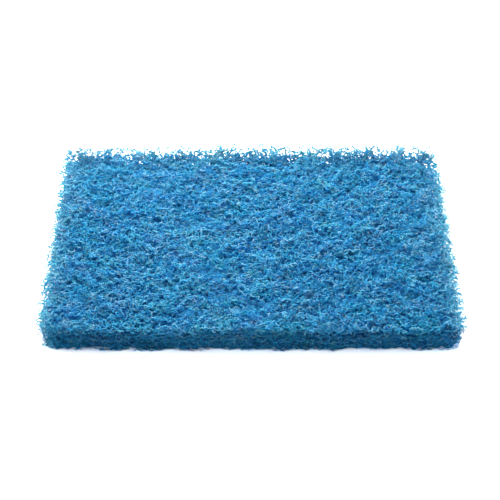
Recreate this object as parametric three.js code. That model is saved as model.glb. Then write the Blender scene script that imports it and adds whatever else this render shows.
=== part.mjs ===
// A hand scouring pad: one rectangular slab, cut from a lofty nonwoven web of crimped, resin-bonded fibres.
// Millimetres, +Z up. X runs along the pad's long side and Y away from the viewer. The origin is the middle
// of the underside, which lies flat on whatever the pad rests on.
import * as THREE from "three";
import { ImprovedNoise } from "three/addons/math/ImprovedNoise.js";

// Overall sizes, measured over the tufts' tips where the cut runs true.
const PAD_LENGTH = 229;
const PAD_WIDTH = 152;
const PAD_THICKNESS = 15;

// Radii of the four upright corners, seen from above. The front pair is worn a little rounder than the back.
const FRONT_LEFT_RADIUS = 8;
const FRONT_RIGHT_RADIUS = 6.5;
const BACK_LEFT_RADIUS = 4.5;
const BACK_RIGHT_RADIUS = 4.5;

// Radii of the rims, where the broad faces turn into the cut sides.
const UPPER_RIM_RADIUS = 1.8;
const LOWER_RIM_RADIUS = 1.4;
const RIM_STEPS = 2;

// The web's relief. Tufts and pits are the small lumps between knots of fibre, and loft is the slow rise and
// fall of the web's thickness. The cut's wander is how far the cut sides stray from a straight line, either
// way, and it is the same all the way down the cut.
const TUFT_PITCH = 3.9;
const TUFT_DEPTH = 1.4;
const LOFT_LENGTH = 47;
const LOFT_DEPTH = 0.8;
const WANDER_LENGTH = 38;
const WANDER_DEPTH = 0.7;
const WANDER_SKEW = 0.3;

// Spacing of the surface's points.
const SURFACE_STEP = 3.3;

const WEB_COLOUR = 0x3683b4;
const WEB_ROUGHNESS = 0.85;

const GOLDEN_RATIO = (1 + Math.sqrt(5)) / 2;
const UP = new THREE.Vector3(0, 0, 1);
const perlin = new ImprovedNoise();
const columns = Math.round(PAD_LENGTH / SURFACE_STEP);
const rows = Math.round(PAD_WIDTH / SURFACE_STEP);
const sideSteps = Math.round(PAD_THICKNESS / SURFACE_STEP);

// A slow wave from -1 to 1: two sines, the second shorter by the golden ratio, so that it never repeats.
function slowWave(distance, length) {
  const turn = (2 * Math.PI * distance) / length;
  return (Math.sin(turn) + Math.sin(GOLDEN_RATIO * turn)) / 2;
}

// How deep the relief lies under the slab's smooth surface. Loft is felt on the broad upper face only.
function reliefDepth({ x, y, z }, normal) {
  const lump = perlin.noise(x / TUFT_PITCH, y / TUFT_PITCH, z / TUFT_PITCH);
  const tufts = TUFT_DEPTH * THREE.MathUtils.clamp(0.5 + lump, 0, 1);
  const loft = (LOFT_DEPTH * (1 - slowWave(x, LOFT_LENGTH) * slowWave(y, LOFT_LENGTH))) / 2;
  return tufts + loft * Math.max(normal.z, 0);
}

// How far the cut's wander carries a place on the plan. The waves run a little askew, so that opposite
// sides don't stray alike.
function wander(x, y) {
  return new THREE.Vector3(
    WANDER_DEPTH * slowWave(y + WANDER_SKEW * x, WANDER_LENGTH),
    WANDER_DEPTH * slowWave(x - WANDER_SKEW * y, WANDER_LENGTH),
    0,
  );
}

// The radius of the upright corner in the quarter of the pad that holds this point.
function cornerRadius(x, y) {
  if (y < 0) return x < 0 ? FRONT_LEFT_RADIUS : FRONT_RIGHT_RADIUS;
  return x < 0 ? BACK_LEFT_RADIUS : BACK_RIGHT_RADIUS;
}

// One point of the plateau, the part of the upper face inside its rim, and the direction from it to the
// nearest cut side. The plateau is a square grid whose corner squares are drawn in to quarter rounds.
function plateauPoint(column, row) {
  const halfLength = PAD_LENGTH / 2 - UPPER_RIM_RADIUS;
  const halfWidth = PAD_WIDTH / 2 - UPPER_RIM_RADIUS;
  const x = halfLength * ((2 * column) / columns - 1);
  const y = halfWidth * ((2 * row) / rows - 1);
  const radius = Math.max(cornerRadius(x, y) - UPPER_RIM_RADIUS, 0);
  const pastX = Math.abs(x) - (halfLength - radius);
  const pastY = Math.abs(y) - (halfWidth - radius);
  if (pastX <= 0 || pastY <= 0) {
    const nearAnEnd = pastX > pastY;
    const outward = new THREE.Vector3(nearAnEnd ? Math.sign(x) : 0, nearAnEnd ? 0 : Math.sign(y), 0);
    return { x, y, outward };
  }
  const reach = Math.max(pastX, pastY);
  const outward = new THREE.Vector3(Math.sign(x) * pastX, Math.sign(y) * pastY, 0).normalize();
  return {
    x: Math.sign(x) * (halfLength - radius) + outward.x * reach,
    y: Math.sign(y) * (halfWidth - radius) + outward.y * reach,
    outward,
  };
}

// The grid's columns and rows round the plateau's edge, anticlockwise seen from above.
function plateauEdge() {
  const edge = [];
  for (let column = 0; column < columns; column += 1) edge.push([column, 0]);
  for (let row = 0; row < rows; row += 1) edge.push([columns, row]);
  for (let column = columns; column > 0; column -= 1) edge.push([column, rows]);
  for (let row = rows; row > 0; row -= 1) edge.push([0, row]);
  return edge;
}

// The side's section from the upper rim down to the underside: each level's inset from the cut side, its
// height and how far its surface leans from straight out, which is 0, to straight up or down.
function sideSection() {
  const section = [];
  for (let step = 1; step <= RIM_STEPS; step += 1) {
    const lean = (Math.PI / 2) * (1 - step / RIM_STEPS);
    section.push({
      inset: UPPER_RIM_RADIUS * (1 - Math.cos(lean)),
      height: PAD_THICKNESS - UPPER_RIM_RADIUS * (1 - Math.sin(lean)),
      lean,
    });
  }
  const cutHeight = PAD_THICKNESS - UPPER_RIM_RADIUS - LOWER_RIM_RADIUS;
  for (let step = 1; step <= sideSteps; step += 1) {
    const height = LOWER_RIM_RADIUS + cutHeight * (1 - step / sideSteps);
    section.push({ inset: 0, height, lean: 0 });
  }
  for (let step = 1; step <= RIM_STEPS; step += 1) {
    const lean = (-Math.PI / 2) * (step / RIM_STEPS);
    section.push({
      inset: LOWER_RIM_RADIUS * (1 - Math.cos(lean)),
      height: LOWER_RIM_RADIUS * (1 + Math.sin(lean)),
      lean,
    });
  }
  return section;
}

// The pad's closed surface: the plateau's grid, the side's rings below it, and a flat fan underneath.
function padGeometry() {
  const positions = [];
  const triangles = [];
  const addPoint = (point, normal) => {
    const place = point.clone().addScaledVector(normal, -reliefDepth(point, normal));
    positions.push(...place.add(wander(point.x, point.y)).toArray());
    return positions.length / 3 - 1;
  };
  // The quads' diagonals alternate, so that the facets give the web no grain of their own.
  const addQuad = (a, b, c, d, turned) => {
    if (turned) triangles.push(a, b, d, b, c, d);
    else triangles.push(a, b, c, a, c, d);
  };

  const grid = [];
  for (let row = 0; row <= rows; row += 1) {
    grid.push([]);
    for (let column = 0; column <= columns; column += 1) {
      const { x, y } = plateauPoint(column, row);
      grid[row].push(addPoint(new THREE.Vector3(x, y, PAD_THICKNESS), UP));
    }
  }
  for (let row = 0; row < rows; row += 1) {
    for (let column = 0; column < columns; column += 1) {
      const [near, far] = [grid[row], grid[row + 1]];
      addQuad(near[column], near[column + 1], far[column + 1], far[column], (row + column) % 2);
    }
  }

  const edge = plateauEdge();
  const section = sideSection();
  const underside = section[section.length - 1];
  let above = edge.map(([column, row]) => grid[row][column]);
  section.forEach((level, step) => {
    const ring = edge.map(([column, row]) => {
      const { x, y, outward } = plateauPoint(column, row);
      const point = new THREE.Vector3(x, y, level.height);
      point.addScaledVector(outward, UPPER_RIM_RADIUS - level.inset);
      const normal = outward.clone().multiplyScalar(Math.cos(level.lean));
      normal.addScaledVector(UP, Math.sin(level.lean));
      return addPoint(point, normal);
    });
    if (level === underside) ring.forEach((index) => (positions[3 * index + 2] = 0));
    ring.forEach((index, at) => {
      const next = (at + 1) % ring.length;
      addQuad(above[at], index, ring[next], above[next], (step + at) % 2);
    });
    above = ring;
  });

  positions.push(0, 0, 0);
  const middle = positions.length / 3 - 1;
  above.forEach((index, at) => triangles.push(middle, above[(at + 1) % above.length], index));

  const geometry = new THREE.BufferGeometry();
  geometry.setAttribute("position", new THREE.Float32BufferAttribute(positions, 3));
  geometry.setIndex(triangles);
  geometry.computeVertexNormals();
  return geometry;
}

function scouringPad() {
  const web = new THREE.MeshStandardMaterial({ color: WEB_COLOUR, roughness: WEB_ROUGHNESS, metalness: 0 });
  const pad = new THREE.Mesh(padGeometry(), web);
  pad.name = "scouring_pad";
  return pad;
}

const part = new THREE.Group();
part.add(scouringPad());

export default part;
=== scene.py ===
"""A hand scouring pad of lofty nonwoven web: crimped, resin-bonded fibres round a darker inner web.

Lengths are in millimetres up to the moment that they go into a mesh, +Z up, with the origin in the middle
of the pad's underside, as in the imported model. The front is the cut side at -Y, and the cut sides at the
two ends and the back are the open rims, where light comes through the web.
"""
import math

import bpy
import numpy as np
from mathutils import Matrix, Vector


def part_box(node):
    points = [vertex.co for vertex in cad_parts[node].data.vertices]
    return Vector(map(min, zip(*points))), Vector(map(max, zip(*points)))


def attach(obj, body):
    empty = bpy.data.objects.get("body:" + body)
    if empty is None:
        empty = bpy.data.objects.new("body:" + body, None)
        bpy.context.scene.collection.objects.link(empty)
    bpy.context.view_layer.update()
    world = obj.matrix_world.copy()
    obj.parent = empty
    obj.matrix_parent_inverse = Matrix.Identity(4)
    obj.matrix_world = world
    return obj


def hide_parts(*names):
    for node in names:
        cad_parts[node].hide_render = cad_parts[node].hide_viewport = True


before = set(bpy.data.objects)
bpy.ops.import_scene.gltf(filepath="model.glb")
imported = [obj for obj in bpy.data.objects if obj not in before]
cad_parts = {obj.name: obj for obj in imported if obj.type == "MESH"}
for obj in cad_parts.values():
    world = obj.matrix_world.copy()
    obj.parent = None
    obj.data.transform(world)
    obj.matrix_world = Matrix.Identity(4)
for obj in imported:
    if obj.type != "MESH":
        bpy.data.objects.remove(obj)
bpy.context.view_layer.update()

MM = 0.001
NODE = "scouring_pad"
UP = np.array([0.0, 0.0, 1.0])
GOLDEN_RATIO = (1 + math.sqrt(5)) / 2

# The cut's slow wander and the loft of the upper face, the same waves as in the solid.
WANDER_DEPTH = 0.7
WANDER_LENGTH = 38
WANDER_SKEW = 0.3
LOFT_LENGTH = 47
LOFT_DEPTH = 0.8

# The straight-cut slab: the solid's box, less what the wander adds to it, plus what the loft takes off.
WANDER_ADDS = 0.6
LOFT_TAKES = 0.2
low, high = (np.array(corner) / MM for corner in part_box(NODE))
HALF_LENGTH = (high[0] - low[0]) / 2 - WANDER_ADDS
HALF_WIDTH = (high[1] - low[1]) / 2 - WANDER_ADDS
THICKNESS = high[2] + LOFT_TAKES

# Radii of the four upright corners, seen from above, as in the solid.
FRONT_LEFT_RADIUS = 8
FRONT_RIGHT_RADIUS = 6.5
BACK_LEFT_RADIUS = 4.5
BACK_RIGHT_RADIUS = 4.5

# The upper face's rise towards the back rim, which was pressed less than the others: how high and how wide.
BACK_RISE = 3.3
BACK_DEPTH = 8

# The inner web: how far it stays inside the cut sides and the broad faces, so that open fibre surrounds it,
# the width and height of its upper rim, the round of its lower one, how far its foot comes out again, and
# the step of its grid.
CORE_FRONT_INSET = 0.7
CORE_OPEN_INSET = 3.2
CORE_UPPER_INSET = 1.7
CORE_LOWER_INSET = 0.5
CORE_RIM_SPREAD = 8.5
CORE_RIM_DROP = 9.5
CORE_LOWER_RIM = 0.5
CORE_FOOT = 1.4
CORE_STEP = 1.5
UPPER_RIM_STEPS = 8
LOWER_RIM_STEPS = 3

# Pits and tufts between knots of fibre. The inner web is pushed in by lumps plus a bias, up to a limit.
PIT_PITCH = 5.2
PIT_DEPTH = 0.65
PIT_WAVES = 28
PIT_SEED = 3
CORE_PIT_BIAS = 0.5
CORE_PIT_LIMIT = 1.4
TUFT_SHARE = 0.2

# The fibres. Real ones are about 0.2 mm thick, and a millimetre of the photograph is under two pixels, so
# they are drawn two to three times as thick and far fewer. The lowest and highest of a range are given.
STRAND_RADIUS = (0.2, 0.36)
KNOT_SWELL = 0.9
KNOT_POWER = 5
STRAND_STEP = 1.05
STRAND_STEPS = 22
STRAND_SIDES = 3
STRAND_SLOPE = 0.05
SWING_LENGTH = (4, 9.5)
BOB_LENGTH = (3.5, 9)
ANY_PHASE = (0, 6.3)
UNDERSIDE_GAP = 0.3
FLOOR_GAP = 0.02

# How far fibres run past the cut outline, as the lowest, commonest and highest reach. Fibres at an open rim
# have a second such reach added, those at the back and at the foot of a side a fixed one, and loose fibres
# reach or rise as far as these.
UPPER_REACH = (-3.0, -0.2, 1.3)
SIDE_REACH = (-0.8, 0.3, 1.0)
OPEN_REACH = (-3.2, -0.5, 1.0)
BACK_REACH = 2.6
FOOT_REACH = 1.9
LOOSE_SHARE = 0.13
LOOSE_REACH = 2.8
LOOSE_HEIGHT = 3.0

# Fibres of the broad faces: the heights of their middles against the face, and the chance of one, which is
# low at a rim, more at the front and back ones, and grows by 1 over this many millimetres inwards.
UPPER_LAYERS = (-2.6, -0.5, 0.2)
LOWER_LAYERS_TOP = 1.2
LOWER_TOP = 2.0
RIM_SHARE = 0.12
BACK_SHARE = 0.55
RIM_FADE = 12

# Fibres of the cut sides: the chance of one at an open rim, the depth of their band at the underside and how
# much deeper it is at the top, the gap over them, how far they turn from the cut, in radians, and how many
# places are tried for each one.
OPEN_SHARE = 0.4
SIDE_BAND = 2.3
SIDE_BAND_FLARE = 9.0
SIDE_TOP_GAP = 0.4
SIDE_STRAY = 0.35
SIDE_TRIES = 90

# Cut ends of fibre, short and thin, which stand out of the open rims. Their places spread about the outline
# by a bell curve, cut off after this many spreads, and their chance is higher at open rims and at the back.
END_RADIUS = (0.17, 0.31)
END_STEP = 0.9
END_STEPS = 5
END_SLOPE = 0.8
END_STRAY = 0.8
END_REACH = -0.5
END_SPREAD = 2.0
END_FRONT_SHARE = 0.4
END_LIMIT = 1.7
END_BACK_REACH = 3.0
END_LOWEST = 1
END_HEIGHT_POWER = 0.6
END_HEIGHT_SPREAD = 0.5
END_RISE = 3.5
END_FRONT_CHANCE = 0.1
END_OPEN_CHANCE = 0.45
END_BACK_CHANCE = 0.45
END_TRIES = 120

# Each fibre's lightness: the middle and spread of the fibres' own levels, the depth and length of the waves
# of thick and thin resin along them, and the grain. The painted glow of the open rims, a paler colour that
# stands in for light coming through the web, falls off over this depth inside an open rim.
DYE_MIDDLE = 0.5
DYE_SPREAD = 0.16
DYE_GRAIN = 0.1
RESIN_DEPTH = 0.22
RESIN_LENGTH = (5, 11)
GLOW_PAINT_DEPTH = 4.5

# A fibre's cell of the bake's map: the tube's stretch along it and round it, and the two end triangles.
TUBE_ALONG = (0.14, 0.86)
TUBE_ROUND = (0.1, 0.9)
CAP_UVS = np.array([[[0.04, 0.3], [0.1, 0.3], [0.07, 0.6]], [[0.9, 0.3], [0.96, 0.3], [0.93, 0.6]]])

# The colour sockets of a Mix node, whose names are also those of its sockets for numbers.
MIX_FIRST = 6
MIX_SECOND = 7
MIX_RESULT = 2

# The lamp's side and place in metres, its power in watts, and half the floor's side in metres.
LAMP_SIDE = 0.5
LAMP_PLACE = (-0.08, 0.36, 0.42)
LAMP_POWER = 4.1
HALF_FLOOR = 3.0

# The camera that the pad's four corners in the photograph give, in millimetres of film, degrees and metres.
# It aims a little to the left of the pad's middle and below it.
LENS = 91.7
FILM_WIDTH = 36
CAMERA_ELEVATION = 42.9
CAMERA_DISTANCE = 0.745
AIM_LEFT = 0.0006
AIM_BELOW = 0.0034


def slow_wave(distance, length):
    """A slow wave from -1 to 1: the mean of two sines, the second shorter by the golden ratio."""
    turn = 2 * np.pi * distance / length
    return (np.sin(turn) + np.sin(GOLDEN_RATIO * turn)) / 2


def wandered(points):
    """The points, each carried sideways by the slow waves that also bend the solid's cut sides."""
    x, y, z = np.moveaxis(points, -1, 0)
    stray_x = WANDER_DEPTH * slow_wave(y + WANDER_SKEW * x, WANDER_LENGTH)
    stray_y = WANDER_DEPTH * slow_wave(x - WANDER_SKEW * y, WANDER_LENGTH)
    return np.stack([x + stray_x, y + stray_y, z], axis=-1)


def upper_height(x, y):
    """Height of the upper face's tips: the thickness, less the loft's slow rise and fall, plus a rise in a
    straight line towards the back rim.
    """
    loft = LOFT_DEPTH * (1 - slow_wave(x, LOFT_LENGTH) * slow_wave(y, LOFT_LENGTH)) / 2
    back = BACK_RISE * np.clip((y - HALF_WIDTH) / BACK_DEPTH + 1, 0, 1)
    return THICKNESS - loft + back


def lumps(points):
    """Smooth lumps, mostly from -1 to 1: plane waves of one length in random directions, added up."""
    rng = np.random.default_rng(PIT_SEED)
    directions = rng.normal(size=(PIT_WAVES, 3))
    directions /= np.linalg.norm(directions, axis=1, keepdims=True)
    phases = rng.uniform(0, 2 * np.pi, PIT_WAVES)
    total = np.zeros(points.shape[:-1])
    for direction, phase in zip(directions, phases):
        total += np.sin(points @ direction * (2 * np.pi / PIT_PITCH) + phase)
    return total / math.sqrt(PIT_WAVES)


def corner_radius(x, y):
    """The upright corner radius in the quarter of the pad that holds each place."""
    front = np.where(x < 0, FRONT_LEFT_RADIUS, FRONT_RIGHT_RADIUS)
    back = np.where(x < 0, BACK_LEFT_RADIUS, BACK_RIGHT_RADIUS)
    return np.where(y < 0, front, back)


def outline_place(x, y):
    """How far each place lies past the cut outline, negative inside, and the way straight out of it.

    The outline is a rectangle with a quarter round at each corner. Past both straight sides of a corner the
    distance is taken from the round's centre, and elsewhere from the nearer side.
    """
    radius = corner_radius(x, y)
    past_x = np.abs(x) - (HALF_LENGTH - radius)
    past_y = np.abs(y) - (HALF_WIDTH - radius)
    in_corner = (past_x > 0) & (past_y > 0)
    reach = np.where(in_corner, np.hypot(past_x, past_y), np.maximum(past_x, past_y))
    nearer_end = past_x > past_y
    out_x = np.where(in_corner, past_x / reach, nearer_end) * np.sign(x)
    out_y = np.where(in_corner, past_y / reach, ~nearer_end) * np.sign(y)
    return reach - radius, out_x, out_y


def openness(out_y):
    """How open the rim is where the way out has this part along +Y: 1, but falling to 0 at the front."""
    return 1 - np.maximum(-out_y, 0)


def backness(out_y):
    """How far the rim faces the back where the way out has this part along +Y: 0, but rising to 1 there."""
    return np.maximum(out_y, 0)


def folded(value, lowest, highest):
    """The value, mirrored back at the lowest and the highest that it may be."""
    span = highest - lowest
    turns = np.mod(value - lowest, 2 * span)
    return lowest + np.minimum(turns, 2 * span - turns)


def smooth_mesh(name, vertices, corners, sizes, uvs=None, attributes=None):
    """A smooth mesh piece from whole arrays.

    They hold its places in millimetres, its face corners, each face's size, the bake's map, and a value at
    each vertex for each named attribute.
    """
    mesh = bpy.data.meshes.new(name)
    mesh.vertices.add(len(vertices))
    mesh.vertices.foreach_set("co", (vertices * MM).astype(np.float32).ravel())
    mesh.loops.add(len(corners))
    mesh.loops.foreach_set("vertex_index", corners.astype(np.int32))
    mesh.polygons.add(len(sizes))
    starts = np.concatenate([[0], np.cumsum(sizes)[:-1]])
    mesh.polygons.foreach_set("loop_start", starts.astype(np.int32))
    mesh.update(calc_edges=True)
    mesh.shade_smooth()
    if uvs is not None:
        mesh.uv_layers.new(name="OFBake").uv.foreach_set("vector", uvs.astype(np.float32).ravel())
    for label, values in (attributes or {}).items():
        attribute = mesh.attributes.new(label, "FLOAT", "POINT")
        attribute.data.foreach_set("value", values.astype(np.float32))
    mesh.validate()
    piece = bpy.data.objects.new(name, mesh)
    bpy.context.scene.collection.objects.link(piece)
    return piece


def core_plan(columns, rows, inset):
    """A square grid over the inner web's outline, drawn in by an inset, with its corners rounded.

    A place past both straight sides of a corner keeps its direction from the round's centre, and its
    distance from there becomes the larger of its two distances past those sides. The whole grid lies a
    little to the front, because the open rims' inset is the larger one.
    """
    half_length = HALF_LENGTH - CORE_OPEN_INSET - inset
    half_width = HALF_WIDTH - (CORE_OPEN_INSET + CORE_FRONT_INSET) / 2 - inset
    x, y = np.meshgrid(np.linspace(-half_length, half_length, columns + 1),
                       np.linspace(-half_width, half_width, rows + 1))
    radius = np.maximum(corner_radius(x, y) - inset, CORE_STEP)
    past_x = np.abs(x) - (half_length - radius)
    past_y = np.abs(y) - (half_width - radius)
    in_corner = (past_x > 0) & (past_y > 0)
    shrink = np.maximum(past_x, past_y) / np.where(in_corner, np.hypot(past_x, past_y), 1)
    x = np.where(in_corner, np.sign(x) * (half_length - radius + past_x * shrink), x)
    y = np.where(in_corner, np.sign(y) * (half_width - radius + past_y * shrink), y)
    return x, y - (CORE_OPEN_INSET - CORE_FRONT_INSET) / 2


def core_section():
    """The inner web's side from top to bottom, as (how much further in than the side inset, height).

    A quarter of an ellipse, wide and tall, because light shines through the web's cut rim, and then a small
    quarter round underneath, which stands out by the foot.
    """
    lean = np.linspace(np.pi / 2, 0, UPPER_RIM_STEPS + 1)[1:]
    upper = np.stack([CORE_RIM_SPREAD * (1 - np.cos(lean)),
                      THICKNESS - CORE_UPPER_INSET - CORE_RIM_DROP * (1 - np.sin(lean))], axis=1)
    lean = np.linspace(0, np.pi / 2, LOWER_RIM_STEPS + 1)
    lower = np.stack([CORE_LOWER_RIM * (1 - np.cos(lean)) - CORE_FOOT,
                      CORE_LOWER_INSET + CORE_LOWER_RIM * (1 - np.sin(lean))], axis=1)
    return np.concatenate([upper, lower])


def web_core():
    """The inner web: a closed slab with pits, wholly inside the fibres.

    Its upper and lower faces are grids over the outline, and its side is a strip of rings between them. The
    pits push each point towards the middle: its distances from there, in shares of the half sizes, give the
    push its direction, and the largest of the three parts is the push itself. The heights then shrink in
    proportion, so that the top follows the loft.
    """
    columns = round(2 * HALF_LENGTH / CORE_STEP)
    rows = round(2 * HALF_WIDTH / CORE_STEP)
    grid = np.arange((columns + 1) * (rows + 1)).reshape(rows + 1, columns + 1)
    edge = np.concatenate([grid[0, :-1], grid[:-1, -1], grid[-1, :0:-1], grid[:0:-1, 0]])

    def level(inset, height):
        x, y = core_plan(columns, rows, inset)
        return np.stack([x, y, np.full_like(x, height)], axis=-1).reshape(-1, 3)

    upper = level(CORE_RIM_SPREAD, THICKNESS - CORE_UPPER_INSET)
    rings = [level(inset, height)[edge] for inset, height in core_section()]
    lower = level(CORE_LOWER_RIM, CORE_LOWER_INSET)
    places = np.concatenate([upper, *rings, lower])

    inwards = np.array([0, 0, THICKNESS / 2]) - places
    inwards /= np.array([HALF_LENGTH, HALF_WIDTH, THICKNESS / 2])
    inwards /= np.abs(inwards).max(axis=1, keepdims=True)
    push = PIT_DEPTH * np.clip(CORE_PIT_BIAS + lumps(places), 0, CORE_PIT_LIMIT)
    places = places + push[:, None] * inwards
    places[:, 2] -= (THICKNESS - upper_height(places[:, 0], places[:, 1])) * places[:, 2] / THICKNESS

    top = np.stack([grid[:-1, :-1], grid[:-1, 1:], grid[1:, 1:], grid[1:, :-1]], axis=-1).reshape(-1, 4)
    below_rings = len(upper) + len(rings) * len(edge)
    loops = [edge]
    for number in range(len(rings)):
        loops.append(len(upper) + number * len(edge) + np.arange(len(edge)))
    loops.append(edge + below_rings)
    faces = [top, top[:, ::-1] + below_rings]
    for above, below in zip(loops[:-1], loops[1:]):
        faces.append(np.stack([above, below, np.roll(below, -1), np.roll(above, -1)], axis=-1))
    faces = np.concatenate(faces)
    return smooth_mesh("web_core", wandered(places), faces.ravel(), np.full(len(faces), 4))


def crimped_paths(rng, centres, headings, swing, curl, bob,
                  slope=STRAND_SLOPE, step=STRAND_STEP, steps=STRAND_STEPS):
    """Fibre paths round their centres: (fibres, points, 3).

    Along the fibre, the heading swings to and fro as a sine of the length run, and turns at a steady rate
    besides. The plan is the running sum of short steps along the heading. The height bobs as a sine, and
    rises or falls in a straight line besides.
    """
    run = step * np.arange(steps + 1)

    def per_fibre(lowest, highest):
        return rng.uniform(lowest, highest, (len(centres), 1))

    swing_length = per_fibre(*SWING_LENGTH)
    swing_angle = per_fibre(*swing)
    swing_phase = per_fibre(*ANY_PHASE)
    turn_rate = per_fibre(-curl, curl)
    bob_height = per_fibre(*bob)
    bob_length = per_fibre(*BOB_LENGTH)
    bob_phase = per_fibre(*ANY_PHASE)
    rise_rate = per_fibre(-slope, slope)

    turn = headings[:, None] + swing_angle * np.sin(2 * np.pi * run / swing_length + swing_phase)
    turn = turn + turn_rate * run
    plan = np.cumsum(step * np.stack([np.cos(turn), np.sin(turn)], axis=-1), axis=1)
    plan += centres[:, None, :2] - plan.mean(axis=1, keepdims=True)
    rise = bob_height * np.sin(2 * np.pi * run / bob_length + bob_phase)
    rise = rise + rise_rate * (run - run.mean())
    return np.concatenate([plan, (centres[:, 2:] + rise)[..., None]], axis=-1)


def kept_in_outline(rng, paths, reaches, band):
    """The paths, mirrored back where they run past the cut outline or deeper inside it than the band.

    Each fibre has a reach of its own past the outline, from a triangle of chances between the lowest, the
    commonest and the highest reach, so that the cut edge is ragged. A few loose ones reach further. Open
    rims add a second such reach, as much as they are open, and the back adds a fixed one.
    """
    x, y, z = np.moveaxis(paths, -1, 0)
    reach = rng.triangular(*reaches, (len(paths), 1))
    loose = rng.random(len(paths)) < LOOSE_SHARE
    reach[loose] = rng.uniform(0, LOOSE_REACH, (loose.sum(), 1))
    past, out_x, out_y = outline_place(x, y)
    reach = reach + openness(out_y) * rng.triangular(*OPEN_REACH, (len(paths), 1))
    reach = reach + BACK_REACH * backness(out_y)
    moved = folded(past, reach - band, reach) - past
    return np.stack([x + moved * out_x, y + moved * out_y, z], axis=-1)


def painted_rim_glow_levels(paths):
    """How strongly each point of each fibre is painted paler: a painted glow in place of light that comes
    through the web at an open rim. It is 1 at the top of an open rim.

    It is less in proportion to the height, as painted light falling from above, and falls off exponentially
    inside the rim.
    """
    past, _, out_y = outline_place(paths[..., 0], paths[..., 1])
    height = np.clip(paths[..., 2] / THICKNESS, 0, 1)
    return openness(out_y) * np.exp(np.minimum(past, 0) / GLOW_PAINT_DEPTH) * height


def dye_levels(rng, count, points):
    """How light each point of each fibre is, from 0 to 1.

    It is a level for the fibre, plus a slow sine along it for thick and thin resin, plus a little grain.
    """
    run = STRAND_STEP * np.arange(points)
    level = rng.normal(DYE_MIDDLE, DYE_SPREAD, (count, 1))
    length = rng.uniform(*RESIN_LENGTH, (count, 1))
    phase = rng.uniform(*ANY_PHASE, (count, 1))
    resin = RESIN_DEPTH * np.sin(2 * np.pi * run / length + phase)
    return np.clip(level + resin + rng.normal(0, DYE_GRAIN, (count, points)), 0, 1)


def fibre_tubes(rng, name, paths, radius=STRAND_RADIUS):
    """Closed tubes of three sides along the paths, with a cell of the bake's map for each fibre.

    Each ring lies square to the path, and the rings' sides join it to the next one. A triangle closes each
    end. Here and there a tube swells at a knot, by a high power of chance. The map runs along the fibre one
    way and round it the other.
    """
    count, points, _ = paths.shape
    tangents = np.gradient(paths, axis=1)
    tangents /= np.linalg.norm(tangents, axis=2, keepdims=True)
    sideways = np.cross(tangents, UP)
    sideways /= np.linalg.norm(sideways, axis=2, keepdims=True)
    upwards = np.cross(sideways, tangents)
    angles = rng.uniform(0, 2 * np.pi, (count, 1)) + 2 * np.pi / STRAND_SIDES * np.arange(STRAND_SIDES)
    radii = rng.uniform(*radius, (count, 1)) * (1 + KNOT_SWELL * rng.random((count, points)) ** KNOT_POWER)
    across = np.cos(angles)[:, None, :, None] * sideways[:, :, None]
    along_up = np.sin(angles)[:, None, :, None] * upwards[:, :, None]
    rings = paths[:, :, None] + radii[:, :, None, None] * (across + along_up)
    rings[..., 2] = np.maximum(rings[..., 2], FLOOR_GAP)

    numbers = np.arange(count * points * STRAND_SIDES).reshape(count, points, STRAND_SIDES)
    turned = np.roll(numbers, -1, axis=2)
    quads = np.stack([numbers[:, :-1], numbers[:, 1:], turned[:, 1:], turned[:, :-1]], axis=-1)
    caps = np.stack([numbers[:, 0], numbers[:, -1, ::-1]], axis=1)
    corners = np.concatenate([quads.ravel(), caps.ravel()])
    sizes = np.concatenate([np.full(quads.size // 4, 4), np.full(2 * count, 3)])

    cells = math.ceil(math.sqrt(count))
    cell = np.stack([np.arange(count) % cells, np.arange(count) // cells], axis=-1)
    u = np.linspace(*TUBE_ALONG, points)
    v = np.linspace(*TUBE_ROUND, STRAND_SIDES + 1)
    u_near, v_near = np.meshgrid(u[:-1], v[:-1], indexing="ij")
    u_far, v_far = np.meshgrid(u[1:], v[1:], indexing="ij")
    quad_uvs = np.stack([np.stack([u_near, v_near], -1), np.stack([u_far, v_near], -1),
                         np.stack([u_far, v_far], -1), np.stack([u_near, v_far], -1)], axis=2)
    quad_uvs = cell[:, None, None, None] + quad_uvs[None]
    cap_uvs = cell[:, None, None] + CAP_UVS[None]
    uvs = np.concatenate([quad_uvs.reshape(-1, 2), cap_uvs.reshape(-1, 2)]) / cells

    # Painted glow: the rim attribute makes the fibres of the open rims paler, most at their tops, in place
    # of light coming through the web.
    attributes = {"dye": dye_levels(rng, count, points), "rim": painted_rim_glow_levels(paths)}
    attributes = {label: np.repeat(values.ravel(), STRAND_SIDES) for label, values in attributes.items()}
    return smooth_mesh(name, wandered(rings.reshape(-1, 3)), corners, sizes, uvs, attributes)


def upper_strands(name, seed, left, right, count):
    """Fibres of the upper face, from one side of the pad's length to another.

    They lie in every direction, in layers down to the inner web, and dip into the pits between tufts.
    """
    rng = np.random.default_rng(seed)
    spots = np.stack([rng.uniform(left, right, 2 * count),
                      rng.uniform(-HALF_WIDTH, HALF_WIDTH, 2 * count),
                      rng.triangular(*UPPER_LAYERS, 2 * count)], axis=-1)
    past, _, out_y = outline_place(spots[:, 0], spots[:, 1])
    chance = RIM_SHARE + BACK_SHARE * np.abs(out_y) - past / RIM_FADE
    centres = spots[rng.random(2 * count) < chance][:count]
    loose = rng.random(count) < LOOSE_SHARE
    centres[loose, 2] = rng.triangular(0, 0, LOOSE_HEIGHT, loose.sum())
    headings = rng.uniform(0, 2 * np.pi, count)
    paths = crimped_paths(rng, centres, headings, swing=(0.9, 2.3), curl=0.12, bob=(0.15, 0.9))
    paths = kept_in_outline(rng, paths, UPPER_REACH, HALF_WIDTH)
    x, y, depth = np.moveaxis(paths, -1, 0)
    on_top = np.stack([x, y, np.full_like(x, THICKNESS)], axis=-1)
    dip = PIT_DEPTH * np.clip(lumps(on_top), -TUFT_SHARE, 1)
    paths[..., 2] = upper_height(x, y) + depth - dip
    return fibre_tubes(rng, name, paths)


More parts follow.
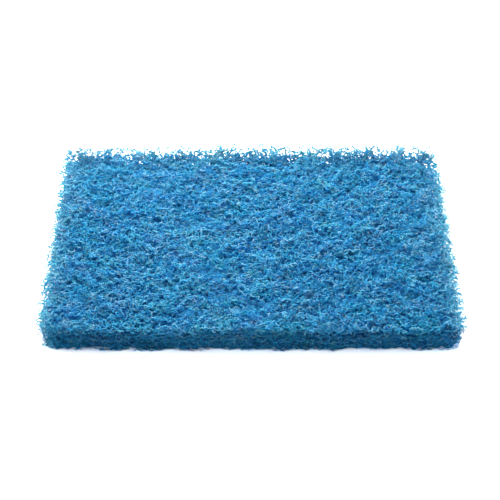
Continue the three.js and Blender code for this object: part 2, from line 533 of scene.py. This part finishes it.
def scattered(rng, count):
    """Places scattered evenly over the pad's plan, each with a share of its height from 0 to 1."""
    return rng.uniform(-1, 1, (count, 3)) * [HALF_LENGTH, HALF_WIDTH, 0.5] + [0, 0, 0.5]


def side_strands(name, seed, count):
    """Fibres of the four cut sides, which run along them in a band from the cut to the inner web.

    The band's depth grows with the square of the height, and the fibres' reach with that of the depth below
    the top. They are fewest at the two ends.
    """
    rng = np.random.default_rng(seed)
    spots = scattered(rng, SIDE_TRIES * count)
    spots[:, 2] = UNDERSIDE_GAP + (THICKNESS - SIDE_TOP_GAP - UNDERSIDE_GAP) * spots[:, 2]
    past, out_x, out_y = outline_place(spots[:, 0], spots[:, 1])
    bands = SIDE_BAND + SIDE_BAND_FLARE * (spots[:, 2] / THICKNESS) ** 2
    chance = 1 - (1 - OPEN_SHARE) * openness(out_y) + BACK_SHARE * backness(out_y)
    kept = rng.random(len(spots)) < chance
    chosen = np.flatnonzero((past < 0) & (past > -bands) & kept)[:count]
    centres = spots[chosen]
    headings = np.arctan2(out_x[chosen], -out_y[chosen]) + rng.normal(0, SIDE_STRAY, count)
    paths = crimped_paths(rng, centres, headings, swing=(0.7, 1.5), curl=0.02, bob=(0.2, 0.8))
    foot = FOOT_REACH * (1 - centres[:, 2:] / THICKNESS) ** 2
    paths = kept_in_outline(rng, paths, [reach + foot for reach in SIDE_REACH], bands[chosen, None])
    highest = upper_height(paths[..., 0], paths[..., 1])
    paths[..., 2] = folded(paths[..., 2], UNDERSIDE_GAP, highest)
    return fibre_tubes(rng, name, paths)


def cut_ends(name, seed, count):
    """Short ends of cut fibre, most of them round the two ends of the pad and its back.

    Their middles lie about the outline by a bell curve, narrower at the front and further out at the back.
    Their heights follow a power of chance, so that more are high than low. At the back they also rise by its
    square, at the most as far as they lie further out. Each end points more or less straight out.
    """
    rng = np.random.default_rng(seed)
    spots = scattered(rng, END_TRIES * count)
    past, out_x, out_y = outline_place(spots[:, 0], spots[:, 1])
    chance = END_FRONT_CHANCE + END_OPEN_CHANCE * openness(out_y) + END_BACK_CHANCE * backness(out_y)
    kept = rng.random(len(spots)) < chance
    chosen = np.flatnonzero((past < 0) & (past > -SIDE_BAND) & kept)[:count]
    x, y, level = spots[chosen].T
    past, out_x, out_y = past[chosen], out_x[chosen], out_y[chosen]
    spread = END_SPREAD * (END_FRONT_SHARE + (1 - END_FRONT_SHARE) * openness(out_y))
    stray = spread * np.clip(rng.normal(0, 1, count), -END_LIMIT, END_LIMIT)
    moved = END_REACH + stray + END_BACK_REACH * backness(out_y) - past
    heights = END_LOWEST + (THICKNESS - END_LOWEST) * level ** END_HEIGHT_POWER
    heights = heights + rng.normal(0, END_HEIGHT_SPREAD, count)
    heights += END_BACK_REACH * backness(out_y) * level ** 2
    centres = np.stack([x + moved * out_x, y + moved * out_y, heights], axis=-1)
    headings = np.arctan2(out_y, out_x) + rng.normal(0, END_STRAY, count)
    paths = crimped_paths(rng, centres, headings, swing=(0.3, 1.2), curl=0.1, bob=(0.1, 0.6),
                          slope=END_SLOPE, step=END_STEP, steps=END_STEPS)
    highest = upper_height(paths[..., 0], paths[..., 1]) + END_RISE
    paths[..., 2] = folded(paths[..., 2], UNDERSIDE_GAP, highest)
    return fibre_tubes(rng, name, paths, END_RADIUS)


def lower_strands(name, seed, count):
    """Fibres of the underside, which rests on their lowest tips. They lie in every direction."""
    rng = np.random.default_rng(seed)
    centres = np.stack([rng.uniform(-HALF_LENGTH, HALF_LENGTH, count),
                        rng.uniform(-HALF_WIDTH, HALF_WIDTH, count),
                        rng.uniform(UNDERSIDE_GAP, LOWER_LAYERS_TOP, count)], axis=-1)
    headings = rng.uniform(0, 2 * np.pi, count)
    paths = crimped_paths(rng, centres, headings, swing=(0.9, 2.0), curl=0.08, bob=(0.1, 0.5))
    paths = kept_in_outline(rng, paths, UPPER_REACH, HALF_WIDTH)
    paths[..., 2] = folded(paths[..., 2], UNDERSIDE_GAP, LOWER_TOP)
    return fibre_tubes(rng, name, paths)


def linear(code):
    """An sRGB hex colour as linear red, green, blue and 1."""
    shares = np.array([int(code[at:at + 2], 16) for at in (1, 3, 5)]) / 255
    values = np.where(shares <= 0.04045, shares / 12.92, ((shares + 0.055) / 1.055) ** 2.4)
    return (*values.tolist(), 1.0)


def add_node(owner, kind, settings=None, links=None):
    """A node of one kind in a material or a world, with its settings and the outputs linked into it.

    A setting goes to the socket of that name or number, or else to the node itself. A hex colour is made
    linear, and stops, as (place, hex colour), go to a colour ramp.
    """
    node = owner.node_tree.nodes.new(kind)
    for name, value in (settings or {}).items():
        if name == "stops":
            while len(node.color_ramp.elements) < len(value):
                node.color_ramp.elements.new(0.5)
            for element, (place, code) in zip(node.color_ramp.elements, value):
                element.position = place
                element.color = linear(code)
        elif isinstance(name, int) or name in node.inputs:
            is_hex = isinstance(value, str) and value.startswith("#")
            node.inputs[name].default_value = linear(value) if is_hex else value
        else:
            setattr(node, name, value)
    for name, source in (links or {}).items():
        owner.node_tree.links.new(source, node.inputs[name])
    return node


def new_material(name):
    """An empty node material."""
    material = bpy.data.materials.new(name)
    material.use_nodes = True
    material.node_tree.nodes.clear()
    return material


def nylon_fibre():
    """Blue nylon staple fibre coated in cured phenolic resin.

    To the eye: a semi-gloss thread, each a little lighter or darker than the next, in a web whose dye takes
    slightly greener in some places and slightly more violet in others, 13 mm across. Light scatters inside
    each thread, over about a millimetre. The fibres of the open rims are mixed towards a pale cyan, most at
    their tops: a painted glow in place of light coming through the web there.
    """
    material = new_material("resin_coated_nylon_fibre")
    dye = add_node(material, "ShaderNodeAttribute", {"attribute_name": "dye"})
    thread = add_node(material, "ShaderNodeValToRGB",
                      {"stops": [(0.0, "#0484c4"), (0.5, "#26b6f8"), (1.0, "#86d2ff")]},
                      {"Fac": dye.outputs["Fac"]})
    place = add_node(material, "ShaderNodeTexCoord")
    blotch_size = 0.013
    blotch = add_node(material, "ShaderNodeTexNoise", {"Scale": 1 / blotch_size, "Detail": 2.0},
                      {"Vector": place.outputs["Object"]})
    tint = add_node(material, "ShaderNodeValToRGB",
                    {"stops": [(0.3, "#ffe7f5"), (0.5, "#f0fbff"), (0.7, "#c4fffa")]},
                    {"Fac": blotch.outputs["Fac"]})
    dyed = add_node(material, "ShaderNodeMix",
                    {"data_type": "RGBA", "blend_type": "MULTIPLY", "Factor": 1.0},
                    {MIX_FIRST: thread.outputs["Color"], MIX_SECOND: tint.outputs["Color"]})
    # Painted glow: the rim attribute mixes the fibres towards a pale cyan at the open rims, standing in for
    # light through the web.
    rim = add_node(material, "ShaderNodeAttribute", {"attribute_name": "rim"})
    painted_glow_share = add_node(material, "ShaderNodeMapRange", {"To Max": 0.6}, {"Value": rim.outputs["Fac"]})
    painted_glow_colour = add_node(material, "ShaderNodeMix",
                    {"data_type": "RGBA", "blend_type": "MIX", MIX_SECOND: "#84eaff"},
                    {"Factor": painted_glow_share.outputs["Result"], MIX_FIRST: dyed.outputs[MIX_RESULT]})
    shader = add_node(material, "ShaderNodeBsdfPrincipled",
                      {"Roughness": 0.4, "IOR": 1.53, "Specular IOR Level": 0.25, "Subsurface Weight": 0.75,
                       "Subsurface Radius": (0.7, 0.9, 1.0), "Subsurface Scale": 0.001},
                      {"Base Color": painted_glow_colour.outputs[MIX_RESULT]})
    add_node(material, "ShaderNodeOutputMaterial", links={"Surface": shader.outputs["BSDF"]})
    return material


def web_with_painted_shade():
    """The same web seen deep between its outer fibres, coloured a darker blue than they are: painted shade
    of the web's depth.

    To the eye: a dark blue tangle, lighter along the fibres and nearly black in the gaps, 1.6 mm apart. The
    near-black gaps are painted shade between the fibres. The gaps are cells, and noise of 4 mm bends the
    lines between them by up to 1.5 mm.
    """
    gap_size = 0.0016
    bend_size = 0.004
    bend_reach = (0.0015, 0.0015, 0.0015)
    material = new_material("nylon_web_with_painted_shade")
    place = add_node(material, "ShaderNodeTexCoord")
    warp = add_node(material, "ShaderNodeTexNoise", {"Scale": 1 / bend_size, "Detail": 2.0},
                    {"Vector": place.outputs["Object"]})
    bend = add_node(material, "ShaderNodeVectorMath", {"operation": "MULTIPLY_ADD", 1: bend_reach},
                    {0: warp.outputs["Color"], 2: place.outputs["Object"]})
    gaps = add_node(material, "ShaderNodeTexVoronoi", {"feature": "DISTANCE_TO_EDGE", "Scale": 1 / gap_size},
                    {"Vector": bend.outputs["Vector"]})
    # Painted shade: the colour runs from the fibres' blue on the lines to near black deep in the gaps, where
    # shade falls.
    colour = add_node(material, "ShaderNodeValToRGB",
                      {"stops": [(0.0, "#38a8e2"), (0.12, "#208ac4"), (0.4, "#0a5088")]},
                      {"Fac": gaps.outputs["Distance"]})
    relief = add_node(material, "ShaderNodeBump", {"invert": True, "Strength": 0.8, "Distance": 0.0006},
                      {"Height": gaps.outputs["Distance"]})
    shader = add_node(material, "ShaderNodeBsdfPrincipled",
                      {"Roughness": 0.6, "IOR": 1.53, "Specular IOR Level": 0.1},
                      {"Base Color": colour.outputs["Color"], "Normal": relief.outputs["Normal"]})
    add_node(material, "ShaderNodeOutputMaterial", links={"Surface": shader.outputs["BSDF"]})
    return material


def white_floor():
    """Matt white paper, which throws light back up at the pad as such paper would.

    Its colour for the camera and for reflections is over 1, so that they see plain white, apart from the
    pad's own contact shadow.
    """
    material = new_material("matt_white_paper")
    light_path = add_node(material, "ShaderNodeLightPath")
    seen = add_node(material, "ShaderNodeMath", {"operation": "MAXIMUM"},
                    {0: light_path.outputs["Is Camera Ray"], 1: light_path.outputs["Is Glossy Ray"]})
    paper = add_node(material, "ShaderNodeBsdfDiffuse", {"Color": (0.75, 0.75, 0.75, 1.0)})
    white = add_node(material, "ShaderNodeBsdfDiffuse", {"Color": (6.2, 5.8, 5.4, 1.0)})
    mix = add_node(material, "ShaderNodeMixShader",
                   links={"Fac": seen.outputs["Value"], 1: paper.outputs["BSDF"], 2: white.outputs["BSDF"]})
    add_node(material, "ShaderNodeOutputMaterial", links={"Surface": mix.outputs["Shader"]})
    mesh = bpy.data.meshes.new("floor")
    corners = [(-HALF_FLOOR, -HALF_FLOOR, 0), (HALF_FLOOR, -HALF_FLOOR, 0),
               (HALF_FLOOR, HALF_FLOOR, 0), (-HALF_FLOOR, HALF_FLOOR, 0)]
    mesh.from_pydata(corners, [], [(0, 1, 2, 3)])
    floor = bpy.data.objects.new("floor", mesh)
    floor.data.materials.append(material)
    bpy.context.scene.collection.objects.link(floor)


def studio_light():
    """A square soft lamp behind and above the pad, in a light tent that is open towards the camera.

    The world is the tent. Its level is the product of two that change in a straight line: one from dark in
    front to bright at the sides and behind, and one from bright low down to dark above.
    """
    lamp = bpy.data.lights.new("key_lamp", "AREA")
    lamp.shape = "SQUARE"
    lamp.size = LAMP_SIDE
    lamp.energy = LAMP_POWER
    key = bpy.data.objects.new("key_lamp", lamp)
    key.location = LAMP_PLACE
    key.rotation_euler = (-key.location).to_track_quat("-Z", "Y").to_euler()
    bpy.context.scene.collection.objects.link(key)

    world = bpy.data.worlds.new("studio")
    bpy.context.scene.world = world
    world.use_nodes = True
    world.node_tree.nodes.clear()
    direction = add_node(world, "ShaderNodeTexCoord")
    axes = add_node(world, "ShaderNodeSeparateXYZ", links={"Vector": direction.outputs["Generated"]})
    behind = add_node(world, "ShaderNodeMapRange",
                      {"From Min": -0.7, "From Max": 0.0, "To Min": 0.11, "To Max": 1.25},
                      {"Value": axes.outputs["Y"]})
    low_down = add_node(world, "ShaderNodeMapRange",
                        {"From Min": 0.1, "From Max": 0.8, "To Min": 2.5, "To Max": 0.1},
                        {"Value": axes.outputs["Z"]})
    level = add_node(world, "ShaderNodeMath", {"operation": "MULTIPLY"},
                     {0: behind.outputs["Result"], 1: low_down.outputs["Result"]})
    tent = add_node(world, "ShaderNodeBackground", links={"Strength": level.outputs["Value"]})
    white = add_node(world, "ShaderNodeBackground", {"Color": (1.0, 1.0, 1.0, 1.0), "Strength": 1.0})
    light_path = add_node(world, "ShaderNodeLightPath")
    mix = add_node(world, "ShaderNodeMixShader",
                   links={"Fac": light_path.outputs["Is Camera Ray"],
                          1: tent.outputs["Background"], 2: white.outputs["Background"]})
    add_node(world, "ShaderNodeOutputWorld", links={"Surface": mix.outputs["Shader"]})


def photograph_camera():
    """The camera: as far, as high and through as long a lens as the pad's four corners show."""
    data = bpy.data.cameras.new("camera")
    data.lens = LENS
    data.sensor_width = FILM_WIDTH
    camera = bpy.data.objects.new("camera", data)
    elevation = math.radians(CAMERA_ELEVATION)
    middle = Vector((0, 0, THICKNESS / 2 * MM))
    camera.location = middle + CAMERA_DISTANCE * Vector((0, -math.cos(elevation), math.sin(elevation)))
    right = Vector((1, 0, 0))
    above = Vector((0, math.sin(elevation), math.cos(elevation)))
    aim = middle - AIM_LEFT * right - AIM_BELOW * above
    camera.rotation_euler = (aim - camera.location).to_track_quat("-Z", "Y").to_euler()
    bpy.context.scene.collection.objects.link(camera)
    bpy.context.scene.camera = camera


def finish_piece(piece, material):
    """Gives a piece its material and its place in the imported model."""
    piece.data.materials.append(material)
    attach(piece, "root")
    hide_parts(NODE)


photograph_camera()
studio_light()
white_floor()

core = web_core()
finish_piece(core, web_with_painted_shade())

fibre = nylon_fibre()
third = 2 * HALF_LENGTH / 3
for number, place in enumerate(("left", "middle", "right")):
    left = -HALF_LENGTH + number * third
    strands = upper_strands(f"upper_{place}_strands", seed=11 + number, left=left, right=left + third,
                            count=1440)
    finish_piece(strands, fibre)
finish_piece(side_strands("side_strands", seed=21, count=1100), fibre)
finish_piece(cut_ends("cut_ends", seed=41, count=3500), fibre)
finish_piece(lower_strands("lower_strands", seed=31, count=560), fibre)

bpy.context.scene.view_settings.view_transform = "Standard"
